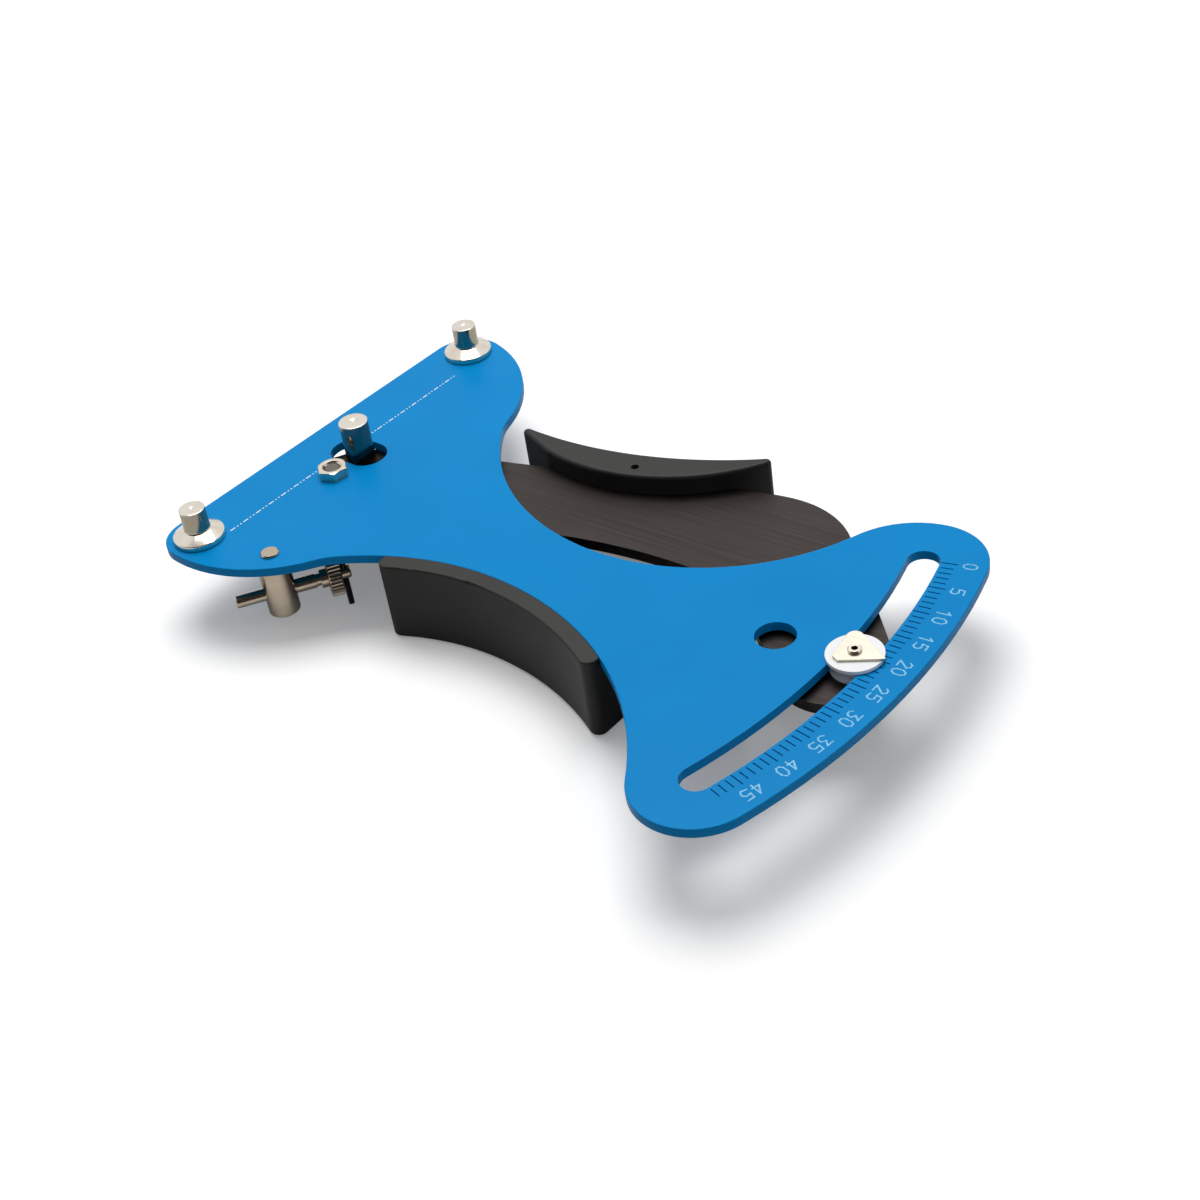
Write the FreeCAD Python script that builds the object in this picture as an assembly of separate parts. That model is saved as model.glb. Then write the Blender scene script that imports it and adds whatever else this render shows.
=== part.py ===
import FreeCAD, Part
import math
import os
from collections import namedtuple

# Spoke tension meter, in millimetres.
# It is drawn with the pivot axis at x = y = 0 and the plate's top face at z = 0. +X runs
# to the scale, +Y to the lever's grip and +Z up the posts. Every piece is then moved so
# that the origin is under the middle of the tool, on the surface that its grips lie on.

# Plate
plate_t = 2.3
plate_edge_round = 0.25
anvil_back = 19.7            # pivot axis to the straight edge behind the posts
scale_r = 171.0              # outer edge of the scale, about the pivot
scale_end_r = 14.8           # rounds at the ends of the scale
slot_r = scale_r - scale_end_r   # middle of the pointer's slot, about the pivot
slot_half_w = 3.83
slot_half_deg = 15.75        # where the slot's end rounds are centred, each way
lever_side_x = -16.5         # big round of the plate's end on the lever grip's side
lever_side_y = 30.1
lever_side_r = 41.6
lever_side_corner_r = 10.5
finger_side_x = -7.5         # big round of the plate's end on the finger grip's side
finger_side_y = -8.8
finger_side_r = 36.9
finger_side_corner_r = 9.2
lever_neck_x = 80.0          # deepest point of the neck on the lever grip's side
lever_neck_y = 7.9
lever_neck_left_r = 65.3
lever_neck_blend_r = 14.0
finger_neck_x = 68.0         # deepest point of the neck on the finger grip's side
finger_neck_y = -12.2
finger_neck_left_r = 70.0
finger_neck_blend_r = 15.0
shoulder_r = 21.3            # wider round that leads into the scale's end on the lever side
shoulder_deg = -80.5
hang_hole_x = 137.1
hang_hole_y = 3.45
hang_hole_r = 4.75

# Opening for the centre post, about the pivot
opening_half_w = 5.3
opening_low_deg = 84.4
opening_high_deg = 112.5

# Marks pressed into the plate
mark_depth = 0.25
tick_w = 0.34
tick_inner_r = slot_r + 4.5
tick_len = 2.9
tick_five_len = 3.9
scale_zero_deg = 15.9
scale_step_deg = 0.6578
scale_top_value = 45
ticks_past_top = 3
number_base_r = slot_r + 9.2
number_h = 3.1
number_w = 1.75
number_space = 1.0
number_stroke = 0.42
guide_line_x = -5.3
guide_low_y = -44.6
guide_high_y = 55.5
guide_pitch = 4.4
guide_dash = 1.7
guide_dot = 0.5
guide_w = 0.4

# Posts
post_r = 3.27
post_top_z = 8.9
post_x = -10.1
left_post_y = -37.3
right_post_y = 62.6
post_chamfer = 0.35
post_collar_r = 6.5
post_collar_edge_h = 1.5
post_collar_h = 2.9
post_shank_r = 2.0
post_rivet_r = 3.2
post_rivet_h = 0.8
centre_post_r = 3.8
centre_post_top_z = 9.5
centre_post_reach = 11.2     # pivot axis to the centre post's axis
centre_post_deg = 97.7
centre_post_shank_r = 2.5
centre_post_rivet_r = 3.0

# Pivot
bolt_r = 2.0
bolt_head_r = 3.8
bolt_head_h = 2.0
hex_key_af = 2.5
hex_key_depth = 1.2
bolt_end_inset = 0.35        # bolt's end below the nut's top
nut_af = 7.1
nut_h = 2.6
nut_turn_deg = 22.0
nut_mouth = 0.55
pivot_bush_r = 3.5
thrust_washer_r = 5.6
lower_washer_t = 1.0
retainer_r = 8.2
retainer_t = 1.0
running_gap = 0.05           # a shaft in its bore, each side, and play along an axis
seat_gap = 0.03              # a fixed shank in its hole, each side

# Lever
lever_gap = 0.8              # plate's underside to lever's top
lever_t = 2.8
lever_boss_r = 13.0
post_boss_r = 6.1
far_shoulder_x = 26.0
far_shoulder_y = 18.7
far_shoulder_r = 8.4
lobe_x = 110.75
lobe_y = 26.3
lobe_r = 26.0
lobe_back_r = 48.0
lobe_back_deg = 97.0
near_edge_x = 103.6          # lowest point of the hollow near edge, and its radius
near_edge_y = 17.1
near_edge_r = 131.0
near_bend_r = 34.0
tip_x = 152.0
tip_y = 4.5
tip_r = 13.0

# Pointer and what carries it
pointer_deg = 2.31
bush_flange_r = 5.8
bush_body_gap = 0.13         # bush to the slot's wall, each side
bush_above = 0.15            # bush's end above the plate
pointer_washer_r = 6.5
pointer_washer_t = 0.85
pointer_t = 0.6
pointer_len = 6.8            # rivet to tip, away from the pivot
pointer_tip_side = 1.05
pointer_tip_r = 0.25
pointer_ear_back = 2.7       # round ear behind the rivet
pointer_ear_side = 4.1
pointer_ear_r = 1.9
pointer_heel_back = 3.0      # corners of the cut-off heel
pointer_heel_side = 3.4
pointer_heel_r = 0.5
pointer_toe_back = 1.5
pointer_toe_side = 4.3
pointer_toe_r = 0.3
pointer_rivet_r = 1.3
pointer_rivet_bore_r = 0.75
pointer_rivet_lip_r = 1.6
pointer_rivet_lip_h = 0.75
pointer_rivet_head_r = 2.6
pointer_rivet_head_h = 0.8

# Grips
grip_low_z = -21.5           # the surface that the tool lies on
grip_round = 1.0
lever_grip_top_z = 2.3
inner_arc_x = 55.5           # face towards the plate
inner_arc_y = 81.8
inner_arc_r = 49.8
outer_arc_x = 38.4           # face towards the palm
outer_arc_y = 140.7
outer_arc_r = 101.5
lever_grip_corner_r = 1.2
lever_grip_inner_corner_deg = -102.6
lever_grip_outer_corner_deg = -92.4
lever_grip_tip_r = 1.25
lever_slot_gap = 0.05
grip_pin_x = 69.8
grip_pin_y = 38.0
grip_pin_r = 1.0
grip_pin_bore_r = 0.6
grip_pin_inset = 0.7
grip_pin_len = 16.0
finger_grip_lip = 4.5        # width outside the plate's edge
finger_grip_left_x = 37.5
finger_grip_right_x = 108.0
finger_grip_corner_r = 2.4
finger_grip_inner_x = 59.2   # face that clears the lever's sweep
finger_grip_inner_y = -178.4
finger_grip_inner_r = 168.4
finger_grip_step = 3.0       # how much wider it is under the lever's level
finger_grip_step_gap = 0.6
plate_seat_gap = 0.1
grip_screw_x = (44.0, 102.5)
grip_screw_inset = 2.0       # screw axis inside the plate's edge
grip_screw_r = 1.25
grip_screw_head_r = 2.2
grip_screw_head_h = 1.8
grip_screw_key_af = 2.0
grip_screw_len = 9.5
grip_screw_depth = 1.7       # threaded depth in the plate

# Spring
wire_r = 0.75
coil_r = 7.0
coil_pitch = 2.0
coil_turns = 3.75
coil_top_gap = 0.55          # coil below the lever
coil_low_gap = 0.35          # coil above the retainer
sleeve_gap = 0.65            # coil to the sleeve inside it
bend_r = 2.0
lever_leg_reach = 14.0
lever_leg_short = 0.4        # leg's end below the lever's top
wire_hole_gap = 0.1
least_wire_gap = 0.4

# Tension adjuster
adjuster_x = 11.3
adjuster_y = -33.1
barrel_r = 3.97
barrel_low_z = -17.0
barrel_shank_r = 1.5
barrel_rivet_r = 2.35
barrel_rivet_h = 0.7
barrel_chamfer = 0.3
rod_z = -11.2
rod_deg = 56.6
rod_r = 1.6
rod_tail = 11.2
rod_nose = 18.0
rod_shoulder_r = 1.85
rod_shoulder_end = 9.0
leg_station = 16.4           # spring leg along the rod, from the barrel's axis
leg_drop = 9.5               # leg's end below the rod's axis
adjuster_travel = 1.0
adjuster_nut_r = 5.2
adjuster_nut_t = 3.4
adjuster_nut_chamfer = 0.35
knurl_count = 32
knurl_depth = 0.35
nut_to_leg_gap = 0.1
collar_r = 2.4
collar_len = 1.8

# Levels, from the top down
lever_top_z = -plate_t - lever_gap
lever_low_z = lever_top_z - lever_t
bush_low_z = lever_low_z - running_gap
washer_low_z = bush_low_z - lower_washer_t
coil_top_z = lever_low_z - coil_top_gap - wire_r
coil_end_z = coil_top_z - coil_pitch * coil_turns
retainer_top_z = coil_end_z - wire_r - coil_low_gap
retainer_low_z = retainer_top_z - retainer_t
bolt_low_z = retainer_low_z - bolt_head_h
sleeve_r = coil_r - wire_r - sleeve_gap
adjuster_nut_face = leg_station - wire_r - nut_to_leg_gap
adjuster_nut_back = adjuster_nut_face - adjuster_nut_t
tiny = 1e-4

# A round of an outline: centre, radius, and turn, 1 anticlockwise or -1 clockwise.
Disc = namedtuple("Disc", "x y r turn")


def vec(x, y, z=0.0):
    return FreeCAD.Vector(x, y, z)


def polar(r, deg, z=0.0):
    return vec(r * math.cos(math.radians(deg)), r * math.sin(math.radians(deg)), z)


# Points where the straight tangent leaves disc a and meets disc b.
# Discs that touch share one point.
def link(a, b):
    across = b.x - a.x
    up = b.y - a.y
    span = math.hypot(across, up)
    lean = max(-1.0, min(1.0, (b.r * b.turn - a.r * a.turn) / span))
    heading = math.atan2(up, across) - math.asin(lean)
    left = vec(-math.sin(heading), math.cos(heading))
    leave = vec(a.x, a.y) - left * (a.r * a.turn)
    meet = vec(b.x, b.y) - left * (b.r * b.turn)
    if leave.distanceToPoint(meet) < tiny:
        leave = meet
    return leave, meet


def round_edge(disc, start, end):
    first = math.atan2(start.y - disc.y, start.x - disc.x)
    last = math.atan2(end.y - disc.y, end.x - disc.x)
    sweep = ((last - first) * disc.turn) % (2.0 * math.pi)
    middle = first + disc.turn * sweep / 2.0
    halfway = vec(disc.x + disc.r * math.cos(middle), disc.y + disc.r * math.sin(middle))
    return Part.Arc(start, halfway, end).toShape()


# Closed wire round a chain of discs. Growing it moves every side outwards alike.
def outline(discs, grow=0.0):
    rounds = [Disc(d.x, d.y, d.r + d.turn * grow, d.turn) for d in discs]
    links = [link(rounds[i - 1], rounds[i]) for i in range(len(rounds))]
    edges = []
    for i, disc in enumerate(rounds):
        arrive = links[i][1]
        leave = links[(i + 1) % len(rounds)][0]
        onward = links[(i + 1) % len(rounds)][1]
        edges.append(round_edge(disc, arrive, leave))
        if leave.distanceToPoint(onward) > tiny:
            edges.append(Part.LineSegment(leave, onward).toShape())
    return Part.Wire(edges)


def slab(discs, low_z, high_z, grow=0.0):
    wire = outline(discs, grow)
    wire.translate(vec(0.0, 0.0, low_z))
    return Part.Face(wire).extrude(vec(0.0, 0.0, high_z - low_z))


# Distance between the centres of two discs that touch.
def reach(big, r, turn):
    if big.turn == turn:
        return abs(big.r - r)
    return big.r + r


# Disc that touches both a and b. side is 1 for the left of the way from a to b.
def between(a, b, r, turn, side):
    from_a = reach(a, r, turn)
    from_b = reach(b, r, turn)
    span = math.hypot(b.x - a.x, b.y - a.y)
    along = (from_a ** 2 - from_b ** 2 + span ** 2) / (2.0 * span)
    off = side * math.sqrt(from_a ** 2 - along ** 2)
    ux = (b.x - a.x) / span
    uy = (b.y - a.y) / span
    return Disc(a.x + ux * along - uy * off, a.y + uy * along + ux * off, r, turn)


# Corner disc centred at x that touches the big disc, above (1) or below (-1) its centre.
def corner(x, r, big, side):
    rise = math.sqrt(reach(big, r, 1) ** 2 - (x - big.x) ** 2)
    return Disc(x, big.y + side * rise, r, 1)


# Corner disc that touches the big disc where deg points from its centre.
def corner_at(deg, r, big):
    spot = polar(reach(big, r, 1), deg)
    return Disc(big.x + spot.x, big.y + spot.y, r, 1)


# Hollow disc with its crest at (x, y) that touches the end disc beyond it.
def hollow(x, y, end, side):
    drop = side * (end.y - y)
    r = ((end.x - x) ** 2 + drop ** 2 - end.r ** 2) / (2.0 * (end.r + drop))
    return Disc(x, y + side * r, r, -1)


# Slot that curves about the pivot, as a chain of discs.
def curved_slot(mid_r, half_w, low_deg, high_deg):
    low = polar(mid_r, low_deg)
    high = polar(mid_r, high_deg)
    return [Disc(low.x, low.y, half_w, 1), Disc(0.0, 0.0, mid_r + half_w, 1),
            Disc(high.x, high.y, half_w, 1), Disc(0.0, 0.0, mid_r - half_w, -1)]


def cylinder(r, low_z, high_z, spot=vec(0.0, 0.0)):
    base = vec(spot.x, spot.y, low_z)
    return Part.makeCylinder(r, high_z - low_z, base)


def ring(outer_r, inner_r, low_z, high_z, spot=vec(0.0, 0.0)):
    return cylinder(outer_r, low_z, high_z, spot).cut(cylinder(inner_r, low_z, high_z, spot))


# Solid turned about a vertical axis through spot, from (radius, height) points.
def turned(profile, spot=vec(0.0, 0.0)):
    points = [vec(r, 0.0, z) for r, z in profile]
    face = Part.Face(Part.makePolygon(points + [points[0]]))
    solid = face.revolve(vec(0.0, 0.0), vec(0.0, 0.0, 1.0), 360.0)
    solid.translate(vec(spot.x, spot.y))
    return solid


def hexagon(across_flats, low_z, high_z, turn_deg=0.0):
    corner_r = across_flats / math.sqrt(3.0)
    points = [polar(corner_r, turn_deg + 60.0 * i, low_z) for i in range(7)]
    return Part.Face(Part.makePolygon(points)).extrude(vec(0.0, 0.0, high_z - low_z))


# Edges that lie wholly at one height.
def edges_at(shape, z):
    return [e for e in shape.Edges if abs(e.BoundBox.ZMin - z) + abs(e.BoundBox.ZMax - z) < tiny]


def joined(shapes):
    return shapes[0].multiFuse(shapes[1:]).removeSplitter()


finger_big = Disc(finger_side_x, finger_side_y, finger_side_r, 1)
lever_big = Disc(lever_side_x, lever_side_y, lever_side_r, 1)
finger_end = corner_at(-slot_half_deg, scale_end_r, Disc(0.0, 0.0, scale_r, 1))
lever_end = corner_at(slot_half_deg, scale_end_r, Disc(0.0, 0.0, scale_r, 1))
shoulder_step = polar(shoulder_r - scale_end_r, shoulder_deg)
shoulder = Disc(lever_end.x + shoulder_step.x, lever_end.y + shoulder_step.y, shoulder_r, 1)
finger_neck_right = hollow(finger_neck_x, finger_neck_y, finger_end, -1)
finger_neck_left = Disc(finger_neck_x, finger_neck_y - finger_neck_left_r, finger_neck_left_r, -1)
lever_neck_right = hollow(lever_neck_x, lever_neck_y, shoulder, 1)
lever_neck_left = Disc(lever_neck_x, lever_neck_y + lever_neck_left_r, lever_neck_left_r, -1)

left_post = vec(post_x, left_post_y)
right_post = vec(post_x, right_post_y)
centre_post_spot = polar(centre_post_reach, centre_post_deg)
pointer_spot = polar(slot_r, pointer_deg)
grip_pin_spot = vec(grip_pin_x, grip_pin_y)
hang_hole_spot = vec(hang_hole_x, hang_hole_y)
barrel_spot = vec(adjuster_x, adjuster_y)
rod_way = polar(1.0, rod_deg)
rod_leg_spot = barrel_spot + rod_way * leg_station


def plate_discs():
    finger_corner = corner(finger_side_corner_r - anvil_back, finger_side_corner_r, finger_big, -1)
    lever_corner = corner(lever_side_corner_r - anvil_back, lever_side_corner_r, lever_big, 1)
    return [finger_corner, finger_big,
            between(finger_big, finger_neck_left, finger_neck_blend_r, -1, 1),
            finger_neck_left, finger_neck_right, finger_end,
            Disc(0.0, 0.0, scale_r, 1), lever_end, shoulder,
            lever_neck_right, lever_neck_left,
            between(lever_neck_left, lever_big, lever_neck_blend_r, -1, 1),
            lever_big, lever_corner]


# Screw centres, a little inside the plate's edge along the finger side's neck.
def grip_screw_spots():
    spots = []
    for x in grip_screw_x:
        neck = finger_neck_left if x < finger_neck_x else finger_neck_right
        rise = math.sqrt((neck.r + grip_screw_inset) ** 2 - (x - neck.x) ** 2)
        spots.append(vec(x, neck.y + rise))
    return spots


# Pocket tool for one straight stroke of a mark, from a to b with square ends.
def stroke(a, b, width, reach_past=0.0):
    length = a.distanceToPoint(b) + 2.0 * reach_past
    bar = Part.makeBox(length, width, 2.0 * mark_depth, vec(-reach_past, -width / 2.0, -mark_depth))
    bar.rotate(vec(0.0, 0.0), vec(0.0, 0.0, 1.0), math.degrees(math.atan2(b.y - a.y, b.x - a.x)))
    bar.translate(vec(a.x, a.y))
    return bar


def tick_tools():
    tools = []
    for value in range(scale_top_value + ticks_past_top + 1):
        deg = scale_zero_deg - value * scale_step_deg
        length = tick_five_len if value % 5 == 0 else tick_len
        start_r = tick_inner_r - (length - tick_len) / 2.0
        tools.append(stroke(polar(start_r, deg), polar(start_r + length, deg), tick_w))
    return tools


# Strokes of the plain figures, on a cell one wide and one high.
figures = {
    "0": [(0.3, 0.0), (0.7, 0.0), (1.0, 0.25), (1.0, 0.75), (0.7, 1.0), (0.3, 1.0),
          (0.0, 0.75), (0.0, 0.25), (0.3, 0.0)],
    "1": [(0.2, 0.75), (0.6, 1.0), (0.6, 0.0)],
    "2": [(0.0, 0.8), (0.3, 1.0), (0.7, 1.0), (1.0, 0.75), (0.0, 0.0), (1.0, 0.0)],
    "3": [(0.0, 1.0), (1.0, 1.0), (0.45, 0.6), (1.0, 0.45), (1.0, 0.2), (0.7, 0.0),
          (0.3, 0.0), (0.0, 0.15)],
    "4": [(0.75, 0.0), (0.75, 1.0), (0.0, 0.3), (1.0, 0.3)],
    "5": [(1.0, 1.0), (0.1, 1.0), (0.0, 0.55), (0.7, 0.6), (1.0, 0.4), (1.0, 0.2),
          (0.7, 0.0), (0.0, 0.08)],
}


# One figure, its top pointing away from the pivot at the scale's angle deg.
def figure_tool(sign, shift, deg):
    points = []
    for across, up in figures[sign]:
        spot = vec(number_base_r + up * number_h, shift - across * number_w)
        spot = FreeCAD.Rotation(vec(0.0, 0.0, 1.0), deg).multVec(spot)
        points.append(spot)
    bars = [stroke(a, b, number_stroke, number_stroke / 2.0) for a, b in zip(points, points[1:])]
    return joined(bars)


def number_tools():
    tools = []
    for value in range(0, scale_top_value + 1, 5):
        deg = scale_zero_deg - value * scale_step_deg
        signs = str(value)
        width = len(signs) * number_w + (len(signs) - 1) * number_space
        for place, sign in enumerate(signs):
            shift = width / 2.0 - place * (number_w + number_space)
            tools.append(figure_tool(sign, shift, deg))
    return tools


# True where a mark on the guide line meets no post, nut or opening.
def guide_clear(y):
    spot = vec(guide_line_x, y)
    room = guide_pitch / 2.0
    for post in (left_post, right_post):
        if spot.distanceToPoint(post) < post_collar_r + room:
            return False
    if abs(spot.Length - centre_post_reach) < opening_half_w + room / 2.0 and y > 0.0:
        return False
    return spot.Length > nut_af / 2.0 + room


def guide_tools():
    tools = []
    for i in range(int((guide_high_y - guide_low_y) / guide_pitch)):
        y = guide_low_y + i * guide_pitch
        if not guide_clear(y + guide_pitch / 2.0):
            continue
        tools.append(stroke(vec(guide_line_x, y), vec(guide_line_x, y + guide_dash), guide_w))
        dot_gap = (guide_pitch - guide_dash - 2.0 * guide_dot) / 3.0
        for k in range(2):
            low = y + guide_dash + dot_gap + k * (guide_dot + dot_gap)
            tools.append(stroke(vec(guide_line_x, low), vec(guide_line_x, low + guide_dot), guide_w))
    return tools


def scale_plate():
    plate = slab(plate_discs(), -plate_t, 0.0)
    plate = plate.makeFillet(plate_edge_round, edges_at(plate, 0.0))
    slot = curved_slot(slot_r, slot_half_w, -slot_half_deg, slot_half_deg)
    opening = curved_slot(centre_post_reach, opening_half_w, opening_low_deg, opening_high_deg)
    tools = [slab(slot, -plate_t, 0.0), slab(opening, -plate_t, 0.0)]
    tools.append(cylinder(hang_hole_r, -plate_t, 0.0, hang_hole_spot))
    tools.append(cylinder(bolt_r + seat_gap, -plate_t, 0.0))
    tools.append(cylinder(barrel_shank_r + seat_gap, -plate_t, 0.0, barrel_spot))
    for post in (left_post, right_post):
        tools.append(cylinder(post_shank_r + seat_gap, -plate_t, 0.0, post))
    for spot in grip_screw_spots():
        tools.append(cylinder(grip_screw_r + seat_gap, -plate_t, grip_screw_depth - plate_t, spot))
    plate = plate.cut(tools)
    return plate.cut(tick_tools() + number_tools() + guide_tools())


# Post turned with a collar that seats on the plate, riveted over underneath.
def fixed_post(spot):
    low_z = -plate_t - post_rivet_h
    profile = [(0.0, low_z), (post_rivet_r - post_chamfer, low_z),
               (post_rivet_r, low_z + post_chamfer), (post_rivet_r, -plate_t),
               (post_shank_r, -plate_t), (post_shank_r, 0.0), (post_collar_r, 0.0),
               (post_collar_r, post_collar_edge_h), (post_r + post_chamfer, post_collar_h),
               (post_r, post_collar_h + post_chamfer), (post_r, post_top_z - post_chamfer),
               (post_r - post_chamfer, post_top_z), (0.0, post_top_z)]
    return turned(profile, spot)


def centre_post():
    low_z = lever_low_z - post_rivet_h
    profile = [(0.0, low_z), (centre_post_rivet_r - post_chamfer, low_z),
               (centre_post_rivet_r, low_z + post_chamfer), (centre_post_rivet_r, lever_low_z),
               (centre_post_shank_r, lever_low_z), (centre_post_shank_r, lever_top_z),
               (centre_post_r, lever_top_z), (centre_post_r, centre_post_top_z - post_chamfer),
               (centre_post_r - post_chamfer, centre_post_top_z), (0.0, centre_post_top_z)]
    return turned(profile, centre_post_spot)


def pivot_bolt():
    end_z = nut_h - bolt_end_inset
    profile = [(0.0, bolt_low_z), (bolt_head_r - post_chamfer, bolt_low_z),
               (bolt_head_r, bolt_low_z + post_chamfer), (bolt_head_r, retainer_low_z),
               (bolt_r, retainer_low_z), (bolt_r, end_z - post_chamfer),
               (bolt_r - post_chamfer, end_z), (0.0, end_z)]
    return turned(profile).cut(hexagon(hex_key_af, bolt_low_z, bolt_low_z + hex_key_depth))


def pivot_nut():
    nut = hexagon(nut_af, 0.0, nut_h, nut_turn_deg)
    corner_r = nut_af / math.sqrt(3.0)
    flat_r = nut_af / 2.0
    slope_h = (corner_r - flat_r) / 2.0
    crown = turned([(0.0, 0.0), (corner_r, 0.0), (corner_r, nut_h - slope_h),
                    (flat_r, nut_h), (0.0, nut_h)])
    bore = cylinder(bolt_r + seat_gap, 0.0, nut_h)
    mouth_r = bolt_r + nut_mouth
    mouth = turned([(0.0, nut_h - nut_mouth), (bolt_r, nut_h - nut_mouth), (mouth_r, nut_h),
                    (0.0, nut_h)])
    return nut.common(crown).cut([bore, mouth])


def lever_discs():
    lobe = Disc(lobe_x, lobe_y, lobe_r, 1)
    back = polar(lobe_r - lobe_back_r, lobe_back_deg)
    lobe_back = Disc(lobe_x + back.x, lobe_y + back.y, lobe_back_r, 1)
    near_edge = Disc(near_edge_x, near_edge_y - near_edge_r, near_edge_r, -1)
    near_bend = Disc(near_edge_x, near_edge_y - near_bend_r, near_bend_r, -1)
    return [Disc(0.0, 0.0, lever_boss_r, 1), near_edge, near_bend, Disc(tip_x, tip_y, tip_r, 1),
            lobe, lobe_back, Disc(far_shoulder_x, far_shoulder_y, far_shoulder_r, 1),
            Disc(centre_post_spot.x, centre_post_spot.y, post_boss_r, 1)]


# Where the spring's leg stands in the lever.
def lever_leg_spot():
    return polar(lever_leg_reach, coil_end_deg() + lever_leg_turn_deg())


def lever_plate():
    plate = slab(lever_discs(), lever_low_z, lever_top_z)
    tools = [cylinder(pivot_bush_r + running_gap, lever_low_z, lever_top_z),
             cylinder(centre_post_shank_r + seat_gap, lever_low_z, lever_top_z, centre_post_spot),
             cylinder(pointer_rivet_r + seat_gap, lever_low_z, lever_top_z, pointer_spot),
             cylinder(grip_pin_r + seat_gap, lever_low_z, lever_top_z, grip_pin_spot),
             cylinder(wire_r + wire_hole_gap, lever_low_z, lever_top_z, lever_leg_spot())]
    return plate.cut(tools)


def pointer_bush():
    low = ring(bush_flange_r, pointer_rivet_r + seat_gap, lever_top_z, -plate_t - running_gap,
               pointer_spot)
    body = ring(slot_half_w - bush_body_gap, pointer_rivet_r + seat_gap, -plate_t - running_gap,
                bush_above, pointer_spot)
    return joined([low, body])


pointer_washer_top_z = bush_above + pointer_washer_t
pointer_top_z = pointer_washer_top_z + pointer_t


def pointer_washer():
    return ring(pointer_washer_r, pointer_rivet_r + seat_gap, bush_above, pointer_washer_top_z,
                pointer_spot)


# Thin hand with its tip on the scale, a round ear and a cut-off heel, set out from the rivet.
def pointer():
    tip = pointer_spot + vec(pointer_len, pointer_tip_side)
    ear = pointer_spot + vec(-pointer_ear_back, pointer_ear_side)
    heel = pointer_spot + vec(-pointer_heel_back, -pointer_heel_side)
    toe = pointer_spot + vec(-pointer_toe_back, -pointer_toe_side)
    discs = [Disc(toe.x, toe.y, pointer_toe_r, 1), Disc(tip.x, tip.y, pointer_tip_r, 1),
             Disc(ear.x, ear.y, pointer_ear_r, 1), Disc(heel.x, heel.y, pointer_heel_r, 1)]
    hand = slab(discs, pointer_washer_top_z, pointer_top_z)
    return hand.cut(cylinder(pointer_rivet_r + seat_gap, pointer_washer_top_z, pointer_top_z,
                             pointer_spot))


def pointer_rivet():
    low_z = lever_low_z - pointer_rivet_head_h
    lip_top_z = pointer_top_z + pointer_rivet_lip_h
    soft = pointer_rivet_lip_h / 3.0
    profile = [(pointer_rivet_bore_r, low_z), (pointer_rivet_head_r - soft, low_z),
               (pointer_rivet_head_r, low_z + soft), (pointer_rivet_head_r, lever_low_z),
               (pointer_rivet_r, lever_low_z), (pointer_rivet_r, pointer_top_z),
               (pointer_rivet_lip_r, pointer_top_z), (pointer_rivet_lip_r, lip_top_z - soft),
               (pointer_rivet_lip_r - soft, lip_top_z), (pointer_rivet_bore_r, lip_top_z)]
    return turned(profile, pointer_spot)


def moving_grip_discs():
    inner = Disc(inner_arc_x, inner_arc_y, inner_arc_r, 1)
    outer = Disc(outer_arc_x, outer_arc_y, outer_arc_r, -1)
    return [corner_at(lever_grip_inner_corner_deg, lever_grip_corner_r, inner), inner,
            between(inner, outer, lever_grip_tip_r, 1, -1), outer,
            corner_at(lever_grip_outer_corner_deg, lever_grip_corner_r, outer)]


def moving_grip():
    grip = slab(moving_grip_discs(), grip_low_z, lever_grip_top_z)
    rims = edges_at(grip, grip_low_z) + edges_at(grip, lever_grip_top_z)
    grip = grip.makeFillet(grip_round, rims)
    slot = slab(lever_discs(), lever_low_z - lever_slot_gap, lever_top_z + lever_slot_gap,
                2.0 * lever_slot_gap)
    pin_top_z = lever_grip_top_z - grip_pin_inset
    pin_hole = cylinder(grip_pin_r + seat_gap, pin_top_z - grip_pin_len, lever_grip_top_z,
                        grip_pin_spot)
    return grip.cut([slot, pin_hole])


def moving_grip_pin():
    top_z = lever_grip_top_z - grip_pin_inset
    return ring(grip_pin_r, grip_pin_bore_r, top_z - grip_pin_len, top_z, grip_pin_spot)


def fixed_grip_discs(wider):
    low_left = Disc(finger_neck_left.x, finger_neck_left.y, finger_neck_left.r - finger_grip_lip, -1)
    low_right = Disc(finger_neck_right.x, finger_neck_right.y,
                     finger_neck_right.r - finger_grip_lip, -1)
    inner = Disc(finger_grip_inner_x, finger_grip_inner_y, finger_grip_inner_r + wider, 1)
    left_x = finger_grip_left_x + finger_grip_corner_r
    right_x = finger_grip_right_x - finger_grip_corner_r
    return [corner(left_x, finger_grip_corner_r, low_left, 1), low_left, low_right,
            corner(right_x, finger_grip_corner_r, low_right, 1),
            corner(right_x, finger_grip_corner_r, inner, 1), inner,
            corner(left_x, finger_grip_corner_r, inner, 1)]


def fixed_grip():
    step_z = lever_low_z - finger_grip_step_gap
    lower = slab(fixed_grip_discs(finger_grip_step), grip_low_z, step_z)
    lower = lower.makeFillet(grip_round, edges_at(lower, grip_low_z))
    upper = slab(fixed_grip_discs(0.0), step_z, 0.0)
    grip = joined([lower, upper.makeFillet(grip_round / 2.0, edges_at(upper, 0.0))])
    tools = [slab(plate_discs(), -plate_t, grip_round, plate_seat_gap)]
    head_top_z = grip_screw_depth - plate_t - grip_screw_len
    for spot in grip_screw_spots():
        tools.append(cylinder(grip_screw_r + seat_gap, head_top_z, -plate_t, spot))
        tools.append(cylinder(grip_screw_head_r + plate_seat_gap, grip_low_z, head_top_z, spot))
    return grip.cut(tools)


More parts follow.
